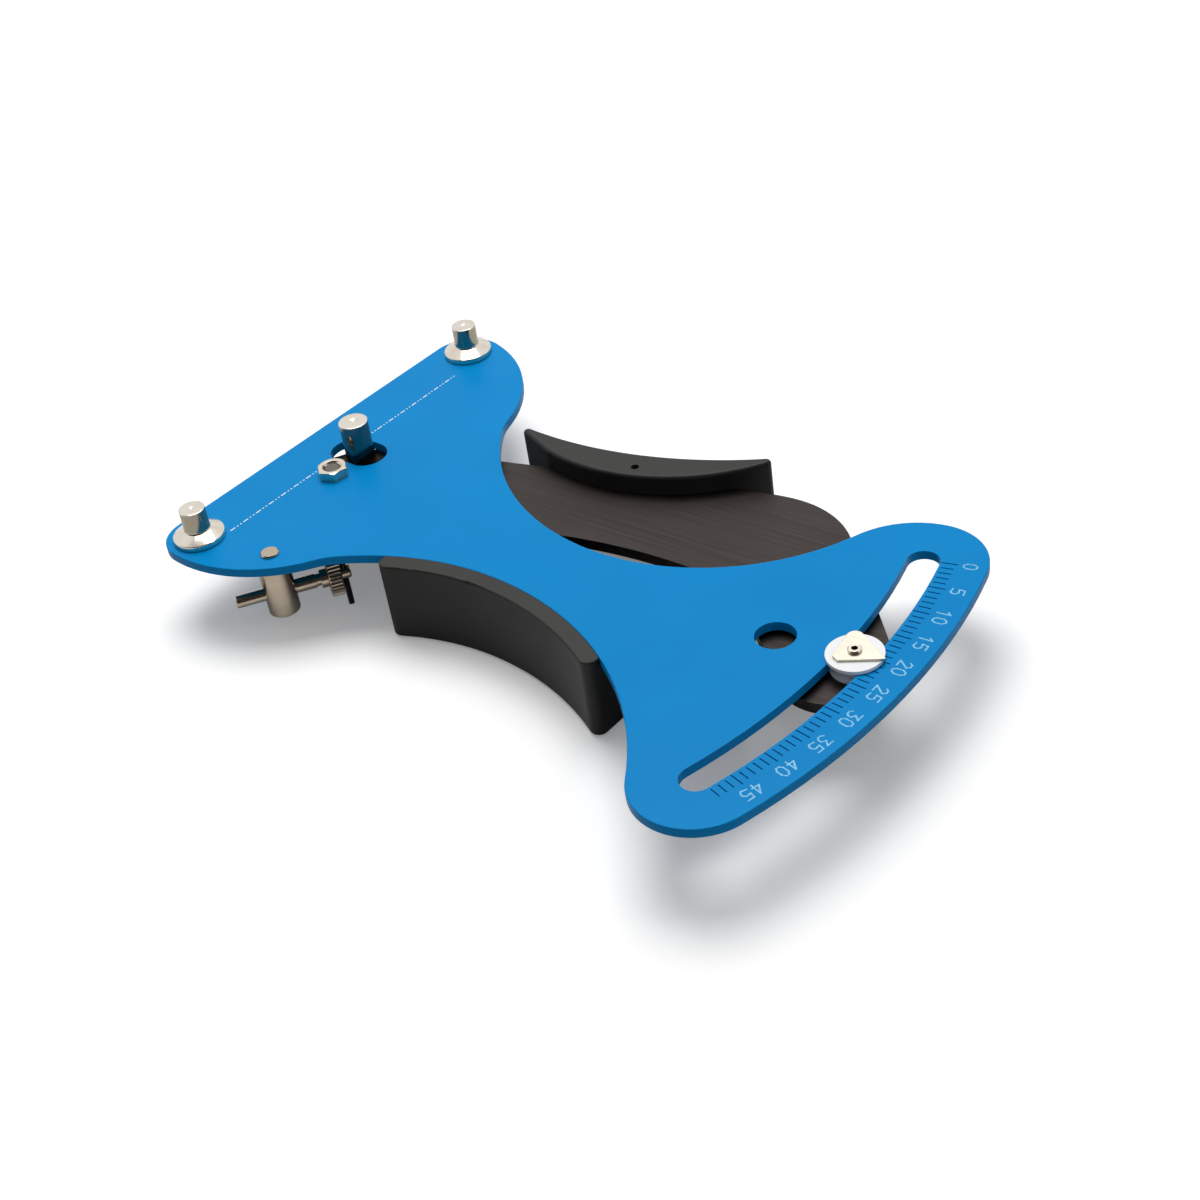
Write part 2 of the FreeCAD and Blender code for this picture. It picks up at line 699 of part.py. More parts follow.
def fixed_grip_screws():
    top_z = grip_screw_depth - plate_t - seat_gap
    head_top_z = grip_screw_depth - plate_t - grip_screw_len
    head_low_z = head_top_z - grip_screw_head_h
    profile = [(0.0, head_low_z), (grip_screw_head_r - post_chamfer, head_low_z),
               (grip_screw_head_r, head_low_z + post_chamfer), (grip_screw_head_r, head_top_z),
               (grip_screw_r, head_top_z), (grip_screw_r, top_z - post_chamfer),
               (grip_screw_r - post_chamfer, top_z), (0.0, top_z)]
    screws = []
    for spot in grip_screw_spots():
        key = hexagon(grip_screw_key_af, head_low_z, head_low_z + grip_screw_head_h / 2.0)
        key.translate(spot)
        screws.append(turned(profile, spot).cut(key))
    return Part.makeCompound(screws)


def adjuster_post():
    profile = [(0.0, barrel_low_z), (barrel_r - barrel_chamfer, barrel_low_z),
               (barrel_r, barrel_low_z + barrel_chamfer), (barrel_r, -plate_t),
               (barrel_shank_r, -plate_t), (barrel_shank_r, 0.0), (barrel_rivet_r, 0.0),
               (barrel_rivet_r, barrel_rivet_h - barrel_chamfer),
               (barrel_rivet_r - barrel_chamfer, barrel_rivet_h), (0.0, barrel_rivet_h)]
    return turned(profile, barrel_spot).cut(along_rod(-rod_tail, rod_tail, rod_r + seat_gap))


# Moves a piece drawn about the Z axis onto the rod: its height becomes the way along it.
def on_rod(shape):
    shape.rotate(vec(0.0, 0.0), vec(0.0, 1.0, 0.0), 90.0)
    shape.rotate(vec(0.0, 0.0), vec(0.0, 0.0, 1.0), rod_deg)
    shape.translate(vec(adjuster_x, adjuster_y, rod_z))
    return shape


def along_rod(start, end, r):
    return on_rod(cylinder(r, start, end))


# Rod through the barrel, with a shoulder against it and a fork for the spring's leg.
def adjuster_rod():
    edge = rod_r / 5.0
    profile = [(0.0, -rod_tail), (rod_r - edge, -rod_tail), (rod_r, edge - rod_tail),
               (rod_r, barrel_r + seat_gap), (rod_shoulder_r, barrel_r + seat_gap),
               (rod_shoulder_r, rod_shoulder_end), (rod_r, rod_shoulder_end),
               (rod_r, rod_nose - edge), (rod_r - edge, rod_nose), (0.0, rod_nose)]
    fork_w = 2.0 * (wire_r + wire_hole_gap)
    fork_start = leg_station - wire_r - adjuster_travel - wire_hole_gap
    fork = Part.makeBox(4.0 * rod_r, fork_w, rod_nose - fork_start,
                        vec(-2.0 * rod_r, -fork_w / 2.0, fork_start))
    return on_rod(turned(profile).cut(fork))


def adjuster_collar():
    end = adjuster_nut_back - running_gap
    return on_rod(ring(collar_r, rod_r + running_gap, end - collar_len, end))


def adjuster_nut():
    rim = adjuster_nut_r - adjuster_nut_chamfer
    bore = rod_r + running_gap
    profile = [(bore, adjuster_nut_back), (rim, adjuster_nut_back),
               (adjuster_nut_r, adjuster_nut_back + adjuster_nut_chamfer),
               (adjuster_nut_r, adjuster_nut_face - adjuster_nut_chamfer),
               (rim, adjuster_nut_face), (bore, adjuster_nut_face)]
    groove_half = math.degrees(math.atan2(knurl_depth, adjuster_nut_r))
    grooves = []
    for i in range(knurl_count):
        deg = 360.0 * i / knurl_count
        points = [polar(adjuster_nut_r - knurl_depth, deg, adjuster_nut_back),
                  polar(adjuster_nut_r + knurl_depth, deg - 2.0 * groove_half, adjuster_nut_back),
                  polar(adjuster_nut_r + knurl_depth, deg + 2.0 * groove_half, adjuster_nut_back)]
        face = Part.Face(Part.makePolygon(points + [points[0]]))
        grooves.append(face.extrude(vec(0.0, 0.0, adjuster_nut_t)))
    return on_rod(turned(profile).cut(grooves))


# Angle round the coil where the adjuster's leg runs off it, straight to the rod.
def coil_start_deg():
    away = math.hypot(rod_leg_spot.x, rod_leg_spot.y)
    towards = math.degrees(math.atan2(rod_leg_spot.y, rod_leg_spot.x))
    return towards + math.degrees(math.acos(coil_r / away))


def coil_end_deg():
    return coil_start_deg() + 360.0 * coil_turns


def lever_leg_turn_deg():
    return math.degrees(math.acos(coil_r / lever_leg_reach))


def coil_point(quarter):
    deg = coil_start_deg() + 90.0 * quarter
    return polar(coil_r, deg, coil_top_z - coil_pitch * quarter / 4.0)


# Way along the wire at a quarter of the coil. The two ends run level.
def coil_way(quarter, last):
    deg = coil_start_deg() + 90.0 * quarter + 90.0
    fall = 0.0 if quarter in (0, last) else -coil_pitch / (2.0 * math.pi * coil_r)
    return polar(1.0, deg, fall).normalize()


# Arc that leaves start towards apex and arrives at end, with equal tangents to the apex.
def arc_by_apex(start, apex, end):
    chord_mid = (start + end) * 0.5
    half = chord_mid.distanceToPoint(start)
    side = apex.distanceToPoint(start)
    bend = math.acos(half / side)
    crest = (apex - chord_mid).normalize() * (half * math.tan(bend / 2.0))
    return Part.Arc(start, chord_mid + crest, end).toShape()


# Two arcs from start to end that keep both given ways.
def biarc(start, way_in, end, way_out):
    across = end - start
    both = way_in + way_out
    a = 2.0 * (way_in.dot(way_out) - 1.0)
    b = -2.0 * across.dot(both)
    c = across.dot(across)
    handle = (-b - math.sqrt(b * b - 4.0 * a * c)) / (2.0 * a)
    first_apex = start + way_in * handle
    second_apex = end - way_out * handle
    meet = (first_apex + second_apex) * 0.5
    return [arc_by_apex(start, first_apex, meet), arc_by_apex(meet, second_apex, end)]


def spring_path():
    last = int(round(coil_turns * 4))
    start = coil_point(0)
    end = coil_point(last)
    rod_leg_low = vec(rod_leg_spot.x, rod_leg_spot.y, rod_z - leg_drop)
    rod_leg_top = vec(rod_leg_spot.x, rod_leg_spot.y, coil_top_z)
    to_rod = (rod_leg_top - start).normalize()
    down = vec(0.0, 0.0, -1.0)
    rod_bend_low = rod_leg_top + down * bend_r
    rod_bend_in = rod_leg_top - to_rod * bend_r
    edges = [Part.LineSegment(rod_leg_low, rod_bend_low).toShape(),
             arc_by_apex(rod_bend_low, rod_leg_top, rod_bend_in),
             Part.LineSegment(rod_bend_in, start).toShape()]
    for k in range(last):
        edges += biarc(coil_point(k), coil_way(k, last), coil_point(k + 1), coil_way(k + 1, last))
    spot = lever_leg_spot()
    knee = vec(spot.x, spot.y, end.z)
    knee_in = knee - (knee - end).normalize() * bend_r
    knee_up = knee - down * bend_r
    leg_end = vec(spot.x, spot.y, lever_top_z - lever_leg_short)
    edges += [Part.LineSegment(end, knee_in).toShape(), arc_by_apex(knee_in, knee, knee_up),
              Part.LineSegment(knee_up, leg_end).toShape()]
    return Part.Wire(edges)


# Least gap between stretches of the wire that lie further apart along it than they do across.
def wire_gap(path):
    points = path.discretize(Distance=0.4)
    step = path.Length / (len(points) - 1)
    skip = int(math.ceil(math.pi * coil_r / step))
    nearest = min(points[i].distanceToPoint(points[j])
                  for i in range(len(points)) for j in range(i + skip, len(points)))
    return nearest - 2.0 * wire_r


def torsion_spring():
    path = spring_path()
    gap = wire_gap(path)
    print("torsion_spring: least gap to itself %.2f mm, wanted over %.2f" % (gap, least_wire_gap))
    start = path.Edges[0].valueAt(path.Edges[0].FirstParameter)
    section = Part.Wire(Part.Circle(start, vec(0.0, 0.0, 1.0), wire_r).toShape())
    tube = path.makePipeShell([section], True, False)
    wanted = math.pi * wire_r ** 2 * path.Length
    print("torsion_spring: volume %.1f mm3, section times length %.1f" % (tube.Volume, wanted))
    return tube


pieces = {
    "scale_plate": scale_plate(),
    "fixed_post_left": fixed_post(left_post),
    "fixed_post_right": fixed_post(right_post),
    "centre_post": centre_post(),
    "pivot_bolt": pivot_bolt(),
    "pivot_nut": pivot_nut(),
    "upper_thrust_washer": ring(thrust_washer_r, bolt_r + seat_gap, lever_top_z + running_gap,
                                -plate_t),
    "pivot_bush": ring(pivot_bush_r, bolt_r + seat_gap, bush_low_z, lever_top_z + running_gap),
    "lower_thrust_washer": ring(thrust_washer_r, bolt_r + seat_gap, washer_low_z, bush_low_z),
    "spring_sleeve": ring(sleeve_r, bolt_r + seat_gap, retainer_top_z, washer_low_z),
    "spring_retainer": ring(retainer_r, bolt_r + seat_gap, retainer_low_z, retainer_top_z),
    "torsion_spring": torsion_spring(),
    "lever_plate": lever_plate(),
    "moving_grip": moving_grip(),
    "moving_grip_pin": moving_grip_pin(),
    "pointer_bush": pointer_bush(),
    "pointer_washer": pointer_washer(),
    "pointer": pointer(),
    "pointer_rivet": pointer_rivet(),
    "fixed_grip": fixed_grip(),
    "fixed_grip_screws": fixed_grip_screws(),
    "adjuster_post": adjuster_post(),
    "adjuster_rod": adjuster_rod(),
    "adjuster_collar": adjuster_collar(),
    "adjuster_nut": adjuster_nut(),
}

# Middle of the plate's outline, which reaches furthest each way.
highest_y = corner(lever_side_corner_r - anvil_back, lever_side_corner_r, lever_big, 1).y
middle_x = (scale_r - anvil_back) / 2.0
middle_y = (highest_y + lever_side_corner_r + finger_end.y - scale_end_r) / 2.0

os.makedirs("parts", exist_ok=True)
for name, shape in pieces.items():
    shape.translate(vec(-middle_x, -middle_y, -grip_low_z))
    shape.exportStep("parts/" + name + ".step")
    print("%s: %d solid(s), volume %.1f mm3" % (name, len(shape.Solids), shape.Volume))
print("origin lies at %.3f, %.3f, %.3f from the pivot at the plate's top"
      % (middle_x, middle_y, grip_low_z))
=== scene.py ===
# %% [markdown]
# # A tension meter, dressed for its portrait
#
# The tool is a blue scale plate with two fixed posts, a sprung dark lever with a third post
# under it, two black grips and a thin pointer that runs along a curved slot. Its solids come
# from CAD at their true size. This lesson gives them real finishes, makes the pieces that
# look better as meshes, and sets the camera and the lamps.

import bpy
from mathutils import Matrix, Vector


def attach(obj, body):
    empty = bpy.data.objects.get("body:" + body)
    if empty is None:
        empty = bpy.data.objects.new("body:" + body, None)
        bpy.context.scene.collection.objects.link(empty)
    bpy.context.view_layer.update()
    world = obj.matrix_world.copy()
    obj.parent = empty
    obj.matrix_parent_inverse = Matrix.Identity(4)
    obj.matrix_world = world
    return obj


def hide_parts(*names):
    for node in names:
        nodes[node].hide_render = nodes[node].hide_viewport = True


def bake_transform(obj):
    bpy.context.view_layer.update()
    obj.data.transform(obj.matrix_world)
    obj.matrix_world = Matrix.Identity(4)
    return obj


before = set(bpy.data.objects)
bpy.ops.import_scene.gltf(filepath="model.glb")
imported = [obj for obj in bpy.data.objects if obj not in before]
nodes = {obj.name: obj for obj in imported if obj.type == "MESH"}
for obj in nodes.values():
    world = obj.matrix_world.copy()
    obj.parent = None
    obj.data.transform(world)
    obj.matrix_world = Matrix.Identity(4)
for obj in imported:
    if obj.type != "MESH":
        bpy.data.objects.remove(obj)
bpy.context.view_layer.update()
print("CAD nodes:", len(nodes))

# %% [markdown]
# Everything on the tool turns about one bolt, so sizes are easiest to read from there, in
# millimetres, with height 0 on top of the blue plate. One function turns such a point into
# metres in the shared frame.

# %% Measure from the pivot
MM = 0.001
PIVOT = Vector((-0.07565, -0.006816, 0.0215))


def at(x, y, z=0.0):
    return PIVOT + Vector((x, y, z)) * MM


# %% [markdown]
# The camera stands where the photograph was taken from: in front of the scale's near end
# and well above it. A matrix built from the three directions of the camera, right, up and
# backwards, holds that view exactly. The picture is square, so the lens and the sensor's
# width alone set how much is seen.

# %% Camera
LENS_MM = 60.0
SENSOR_MM = 36.0
NEAREST_SEEN = 0.01
CAMERA_SPOT = (0.27905, -0.271016, 0.2945)
CAMERA_RIGHT = (0.7635, 0.6329, -0.1289)
CAMERA_BACK = (0.5690, -0.5647, 0.5977)
camera_data = bpy.data.cameras.new("portrait_camera")
camera_data.sensor_width = SENSOR_MM
camera_data.lens = LENS_MM
camera_data.clip_start = NEAREST_SEEN
camera = bpy.data.objects.new("portrait_camera", camera_data)
bpy.context.collection.objects.link(camera)
to_right = Vector(CAMERA_RIGHT).normalized()
to_back = Vector(CAMERA_BACK).normalized()
to_up = to_back.cross(to_right).normalized()
directions = Matrix((to_right, to_up, to_back)).transposed()
camera.matrix_world = Matrix.Translation(CAMERA_SPOT) @ directions.to_4x4()
bpy.context.scene.camera = camera
bpy.context.scene.view_settings.view_transform = "Standard"
print("camera looks along", [round(-v, 3) for v in to_back])

# %% [markdown]
# A product picture is lit softly from all round, and the world gives that part of the
# light. The camera sees the world at full strength, and so do reflections, but it lights
# the tool at less than a third of that. Polished metal needs something darker to reflect
# or it looks like paper, so for glossy rays alone the side of the room behind the camera is
# dark and warm, and it fades towards the top.

# %% World
world = bpy.data.worlds.new("soft_room")
bpy.context.scene.world = world
world.use_nodes = True
room = world.node_tree
room.nodes.clear()


def room_node(kind, settings, values):
    node = room.nodes.new(kind)
    for key, value in settings.items():
        setattr(node, key, value)
    for key, value in values.items():
        if isinstance(value, bpy.types.NodeSocket):
            room.links.new(value, node.inputs[key])
        else:
            node.inputs[key].default_value = value
    return node


ROOM_LIGHT = 0.30
WHITE = (1.0, 1.0, 1.0, 1.0)
BLACK = (0.0, 0.0, 0.0, 1.0)
DARK_SIDE = (0.050, 0.041, 0.031, 1.0)
DARK_FROM = -0.12
DARK_FULL = 0.30
ray = room_node("ShaderNodeLightPath", {}, {})
way = room_node("ShaderNodeTexCoord", {}, {})
level_back = Vector((to_back.x, to_back.y, 0.0)).normalized()
facing = room_node("ShaderNodeVectorMath", {"operation": "DOT_PRODUCT"},
                   {0: way.outputs["Generated"], 1: level_back})
shade = room_node("ShaderNodeMapRange", {"interpolation_type": "SMOOTHSTEP"},
                  {"Value": facing.outputs["Value"], "From Min": DARK_FROM,
                   "From Max": DARK_FULL})
glossy_shade = room_node("ShaderNodeMath", {"operation": "MULTIPLY"},
                         {0: shade.outputs[0], 1: ray.outputs["Is Glossy Ray"]})
seen = room_node("ShaderNodeMix", {"data_type": "RGBA"},
                 {0: glossy_shade.outputs[0], 6: WHITE, 7: DARK_SIDE})
straight = room_node("ShaderNodeMath", {"operation": "MAXIMUM"},
                     {0: ray.outputs["Is Camera Ray"], 1: ray.outputs["Is Glossy Ray"]})
clear = room_node("ShaderNodeMath", {"operation": "MAXIMUM"},
                  {0: straight.outputs[0], 1: ray.outputs["Is Transmission Ray"]})
power = room_node("ShaderNodeMapRange", {}, {"Value": clear.outputs[0], "To Min": ROOM_LIGHT,
                                             "To Max": 1.0})
glow = room_node("ShaderNodeBackground", {}, {"Color": seen.outputs[2],
                                              "Strength": power.outputs[0]})
room_node("ShaderNodeOutputWorld", {}, {"Surface": glow.outputs[0]})

# %% [markdown]
# One large lamp overhead, a little to the far side, makes the tops much lighter than the
# sides that face the camera, as on the real tool. A second, smaller one puts a narrow
# highlight on the round posts.

# %% Lamps
OVERHEAD_SPOT = (-0.25, 0.25, 0.95)
OVERHEAD_TARGET = (0.0, 0.0, 0.0)
OVERHEAD_SIZE = 0.7
OVERHEAD_WATTS = 8.2
SIDE_SPOT = (0.75, 0.25, 0.45)
SIDE_TARGET = (0.0, 0.0, 0.02)
SIDE_SIZE = 0.25
SIDE_WATTS = 0.5


def lamp(name, place, target, size, watts):
    bpy.ops.object.select_all(action="DESELECT")
    bpy.ops.object.light_add(type="AREA", location=place)
    light = bpy.context.object
    light.name = name
    light.data.size = size
    light.data.energy = watts
    way_down = Vector(target) - Vector(place)
    light.rotation_euler = way_down.to_track_quat("-Z", "Y").to_euler()


lamp("overhead_lamp", OVERHEAD_SPOT, OVERHEAD_TARGET, OVERHEAD_SIZE, OVERHEAD_WATTS)
lamp("side_lamp", SIDE_SPOT, SIDE_TARGET, SIDE_SIZE, SIDE_WATTS)

# %% [markdown]
# The floor is one wide plane. It lies three tenths of a millimetre under the tool, so that
# the two never share a surface.

# %% Floor
FLOOR_WIDTH = 6.0
FLOOR_DROP = 0.3 * MM
bpy.ops.object.select_all(action="DESELECT")
bpy.ops.mesh.primitive_plane_add(size=FLOOR_WIDTH, location=(0.0, 0.0, -FLOOR_DROP))
floor = bpy.context.object
floor.name = "pale_floor"

# %% [markdown]
# ## Writing materials as sums
#
# A finish is mostly arithmetic on position: how far along, how far from a centre, how
# noisy. The Flow class wraps an output socket, and its operators add the Math nodes, so the
# arithmetic reads as arithmetic. Finish holds one material and makes every other node.

# %% Flow and Finish


class Flow:
    def __init__(self, owner, socket):
        self.owner = owner
        self.socket = socket

    def math(self, operation, *others):
        values = dict(enumerate((self,) + others))
        return self.owner.node("ShaderNodeMath", {"operation": operation}, values)

    def __add__(self, other):
        return self.math("ADD", other)

    def __radd__(self, other):
        return self.math("ADD", other)

    def __sub__(self, other):
        return self.math("SUBTRACT", other)

    def __rsub__(self, other):
        return self.owner.node("ShaderNodeMath", {"operation": "SUBTRACT"}, {0: other, 1: self})

    def __mul__(self, other):
        return self.math("MULTIPLY", other)

    def __rmul__(self, other):
        return self.math("MULTIPLY", other)

    def under(self, limit):
        return self.math("LESS_THAN", limit)

    def over(self, limit):
        return self.math("GREATER_THAN", limit)

    def spread(self, low, high, to_low, to_high):
        return self.owner.node("ShaderNodeMapRange", {}, {
            "Value": self, "From Min": low, "From Max": high, "To Min": to_low,
            "To Max": to_high})


class Finish:
    def __init__(self, name):
        self.material = bpy.data.materials.new(name)
        self.material.use_nodes = True
        self.tree = self.material.node_tree
        self.tree.nodes.clear()
        self.place = self.node("ShaderNodeTexCoord", output="Object")

    def node(self, kind, settings=None, values=None, output=0):
        node = self.tree.nodes.new(kind)
        for key, value in (settings or {}).items():
            setattr(node, key, value)
        for key, value in (values or {}).items():
            if isinstance(value, Flow):
                self.tree.links.new(value.socket, node.inputs[key])
            else:
                node.inputs[key].default_value = value
        return Flow(self, node.outputs[output]) if node.outputs else None

    def coordinates(self, origin=PIVOT):
        moved = self.node("ShaderNodeVectorMath", {"operation": "SUBTRACT"},
                          {0: self.place, 1: origin})
        return [self.node("ShaderNodeSeparateXYZ", None, {0: moved}, i) for i in range(3)]

    def radius(self, origin):
        x, y, _ = self.coordinates(origin)
        return (x * x + y * y).math("SQRT")

    def noise(self, scale, detail=3.0, stretch=(1.0, 1.0, 1.0), turn=0.0):
        spot = self.node("ShaderNodeMapping", {"vector_type": "TEXTURE"},
                         {"Vector": self.place, "Rotation": (0.0, 0.0, turn),
                          "Scale": stretch})
        return self.node("ShaderNodeTexNoise", None,
                         {"Vector": spot, "Scale": scale, "Detail": detail})

    def blend(self, factor, first, second):
        return self.node("ShaderNodeMix", {"data_type": "RGBA"},
                         {0: factor, 6: first, 7: second}, 2)

    def bump(self, height, depth, under=None):
        values = {"Height": height, "Distance": depth, "Strength": 1.0}
        if under is not None:
            values["Normal"] = under
        return self.node("ShaderNodeBump", None, values)

    def soft_edge(self, width):
        return self.node("ShaderNodeBevel", {"samples": 6}, {"Radius": width})

    def close(self, **values):
        named = {key.replace("_", " ").title().replace("Ior", "IOR"): value
                 for key, value in values.items()}
        shader = self.node("ShaderNodeBsdfPrincipled", None, named)
        self.node("ShaderNodeOutputMaterial", None, {"Surface": shader})
        return self.material


# %% [markdown]
# The floor is plain and pale, and takes the tool's shadow. A white floor would also light
# the tool from below, which the photograph doesn't show, so to rays that don't come from
# the camera or a mirror it is a middle grey. The lamp leaves the far floor dim, and a glow
# that only the camera sees keeps it as pale as the near floor.

# %% Floor finish
MIDDLE_GREY = (0.34, 0.34, 0.34, 1.0)
FLOOR_PALE = (0.93, 0.93, 0.93, 1.0)
GLOW_NEAR = 0.35
GLOW_FAR = 1.7
GLOW_LEAST = 0.20
GLOW_MOST = 0.92
pale = Finish("pale_floor")
from_camera = pale.node("ShaderNodeLightPath", output="Is Camera Ray")
from_mirror = pale.node("ShaderNodeLightPath", output="Is Glossy Ray")
looked_at = from_camera.math("MAXIMUM", from_mirror)
far_glow = pale.radius(PIVOT).spread(GLOW_NEAR, GLOW_FAR, GLOW_LEAST, GLOW_MOST)
floor.data.materials.append(pale.close(
    base_color=pale.blend(looked_at, MIDDLE_GREY, FLOOR_PALE),
    emission_color=pale.blend(from_camera * far_glow, BLACK, WHITE), emission_strength=1.0,
    roughness=0.9, specular_ior_level=0.1))

# %% [markdown]
# ## The blue plate
#
# The real plate is laser-cut steel with a thick, even coat of bright blue enamel, with a
# faint orange peel and hardly any shine. The scale's lines are pressed in and stay blue, and
# their floors are painted a darker blue as painted shade for the recesses. They are found by
# their depth: only the floors of the pockets lie a quarter of a millimetre down, and the ring
# where the scale is keeps the painted shade off the plate's own edge.

# %% Blue enamel
BLUE = (0.0008, 0.248, 0.608, 1.0)
BLUE_DEEP = (0.0006, 0.234, 0.584, 1.0)
# Painted shade: the darker blue given to the pressed-in pocket floors of the scale.
BLUE_PAINTED_SHADE = (0.0004, 0.120, 0.330, 1.0)
MARK_DEPTH = 0.25 * MM
MARK_SLACK = 0.04 * MM
SCALE_FROM = 160.12 * MM
SCALE_TO = 170.2 * MM
enamel = Finish("blue_enamel")
_, _, height = enamel.coordinates()
from_pivot = enamel.radius(PIVOT)
pocket = (height + MARK_DEPTH).math("ABSOLUTE").under(MARK_SLACK)
scale_ring = from_pivot.over(SCALE_FROM) * from_pivot.under(SCALE_TO)
marks = pocket * scale_ring
cloudy = enamel.noise(38.0, 2.0).spread(0.35, 0.65, 0.0, 1.0)
peel = enamel.noise(1500.0, 2.0)
paint = enamel.blend(cloudy, BLUE, BLUE_DEEP)
# The pocket floors of the scale take the darker blue, which is painted shade in the recesses.
paint = enamel.blend(marks, paint, BLUE_PAINTED_SHADE)
blue_enamel = enamel.close(
    base_color=paint, roughness=peel * 0.10 + marks * 0.3 + 0.27,
    normal=enamel.bump(peel, 0.012 * MM), specular_ior_level=0.06)

# %% [markdown]
# ## Brushed steel
#
# A belt leaves long straight scratches. They are noise drawn out along one direction: fine
# ones for the single scratches, and broad ones for the streaks between them.

# %% Brushed sheets
FINE_SCRATCH = (0.030, 0.00022, 0.002)
BROAD_SCRATCH = (0.060, 0.0012, 0.004)


def brushed(name, colour, light, roughness, turn, edge=0.25):
    sheet = Finish(name)
    fine = sheet.noise(1.0, 3.0, FINE_SCRATCH, turn)
    broad = sheet.noise(1.0, 2.0, BROAD_SCRATCH, turn)
    streaks = fine * 0.65 + broad * 0.35
    tint = sheet.blend(streaks.spread(0.36, 0.64, 0.0, 1.0), colour, light)
    smudge = sheet.noise(55.0, 3.0).spread(0.35, 0.65, -0.04, 0.05)
    return sheet.close(
        base_color=tint, metallic=1.0,
        roughness=streaks.spread(0.3, 0.7, roughness + 0.07, roughness - 0.07) + smudge,
        normal=sheet.bump(streaks, 0.006 * MM, sheet.soft_edge(edge * MM)))


dark_steel = brushed("dark_steel", (0.027, 0.0225, 0.0205, 1.0), (0.043, 0.0365, 0.0335, 1.0),
                     0.40, 0.06)
pointer_nickel = brushed("pointer_nickel", (0.47, 0.43, 0.36, 1.0), (0.62, 0.57, 0.48, 1.0),
                         0.30, 0.1, 0.08)
zinc_steel = brushed("zinc_steel", (0.50, 0.51, 0.52, 1.0), (0.66, 0.67, 0.68, 1.0), 0.32, 0.8,
                     0.12)

# %% [markdown]
# ## Turned steel
#
# A lathe leaves rings. They are a wave of the distance from the turned piece's own axis, and
# hoops up its side are a wave of the height, so each post gets a copy of the finish with
# its own centre. The sides of the posts are painted darker, a painted reflection of the dark
# room around them, while their tops and collars stay bright.

# %% Turned pieces
FULL_TURN = 6.2832
HOOP_RATIO = 1.7
SIDE_SHADE_FADE = 0.7
WARMER = (0.93, 0.88, 0.80)


def turned(name, x, y, colour, roughness, ring_mm=0.16, painted_side_shade=None):
    bar = Finish(name)
    out = bar.radius(at(x, y))
    wobble = bar.noise(900.0, 2.0) * (0.05 * MM)
    rings = ((out + wobble) * (FULL_TURN / (ring_mm * MM))).math("SINE")
    _, _, up = bar.coordinates()
    hoops = (up * (FULL_TURN / (ring_mm * HOOP_RATIO * MM))).math("SINE")
    grain = rings * 0.5 + hoops * 0.5
    stain = bar.noise(260.0, 3.0).spread(0.4, 0.7, 0.0, 1.0)
    warm = tuple(c * k for c, k in zip(colour, WARMER)) + (1.0,)
    metal = bar.blend(stain, colour + (1.0,), warm)
    # The band paints the post's sides darker between two heights, as a painted reflection of
    # the dark room.
    if painted_side_shade is not None:
        low, high, tint = painted_side_shade
        band = up.spread(low * MM, (low + SIDE_SHADE_FADE) * MM, 0.0, 1.0) * up.under(high * MM)
        metal = bar.blend(band, metal, tint + (1.0,))
    return bar.close(
        base_color=metal, metallic=1.0,
        roughness=grain * 0.03 + stain * 0.07 + roughness,
        normal=bar.bump(grain, 0.0012 * MM, bar.soft_edge(0.1 * MM)))


NICKEL = (0.72, 0.67, 0.60)
LEFT_POST = (-10.1, -37.3)
RIGHT_POST = (-10.1, 62.6)
CENTRE_POST = (-1.50, 11.10)
BARREL = (11.3, -33.1)
POINTER = (156.07, 6.30)
# Each post's last value is its painted side shade: the heights and the darker colour of a
# painted reflection on its sides.
post_finish = {
    "fixed_post_left": turned("nickel_left", *LEFT_POST, NICKEL, 0.13,
                              painted_side_shade=(2.9, 8.65, (0.33, 0.29, 0.22))),
    "fixed_post_right": turned("nickel_right", *RIGHT_POST, NICKEL, 0.13,
                               painted_side_shade=(2.9, 8.65, (0.33, 0.30, 0.24))),
    "centre_post": turned("nickel_centre", *CENTRE_POST, NICKEL, 0.17,
                          painted_side_shade=(-4.0, 9.25, (0.21, 0.195, 0.17))),
}
barrel_steel = turned("barrel_steel", *BARREL, (0.46, 0.39, 0.31), 0.2)
rivet_nickel = turned("rivet_nickel", *POINTER, NICKEL, 0.18)
nut_nickel = turned("nut_nickel", 0.0, 0.0, (0.66, 0.60, 0.51), 0.24)
pivot_steel = turned("pivot_steel", 0.0, 0.0, (0.13, 0.12, 0.11), 0.3)

# %% [markdown]
# ## Plastics, bronze and spring wire
#
# The grips are moulded in black with a fine spark-eroded grain: a dull skin of tiny pits,
# polished a little in patches by use. The nylon bush and washers are milky and let
# some light in. The wire is oil-blackened, with faint drawing lines.

# %% Moulded and drawn finishes
grip_skin = Finish("grip_plastic")
pits = grip_skin.noise(2600.0, 2.0)
patches = grip_skin.noise(45.0, 3.0).spread(0.35, 0.68, 0.0, 1.0)
grip_plastic = grip_skin.close(
    base_color=grip_skin.blend(patches, (0.012, 0.0118, 0.0105, 1.0),
                               (0.019, 0.0187, 0.017, 1.0)),
    roughness=pits * 0.16 + patches * 0.08 + 0.34, specular_ior_level=0.22,
    normal=grip_skin.bump(pits, 0.03 * MM, grip_skin.soft_edge(0.25 * MM)))

nylon = Finish("white_nylon")
milk = nylon.noise(400.0, 3.0)
white_nylon = nylon.close(
    base_color=nylon.blend(milk, (0.84, 0.86, 0.88, 1.0), (0.92, 0.93, 0.94, 1.0)),
    roughness=milk * 0.12 + 0.26, subsurface_weight=0.15,
    subsurface_radius=(1.0 * MM, 1.0 * MM, 1.0 * MM),
    normal=nylon.bump(milk, 0.01 * MM, nylon.soft_edge(0.15 * MM)))

bronze = Finish("bush_bronze")
pores = bronze.noise(3200.0, 2.0)
bush_bronze = bronze.close(
    base_color=bronze.blend(pores, (0.40, 0.26, 0.12, 1.0), (0.62, 0.44, 0.22, 1.0)),
    metallic=1.0, roughness=pores * 0.15 + 0.3)

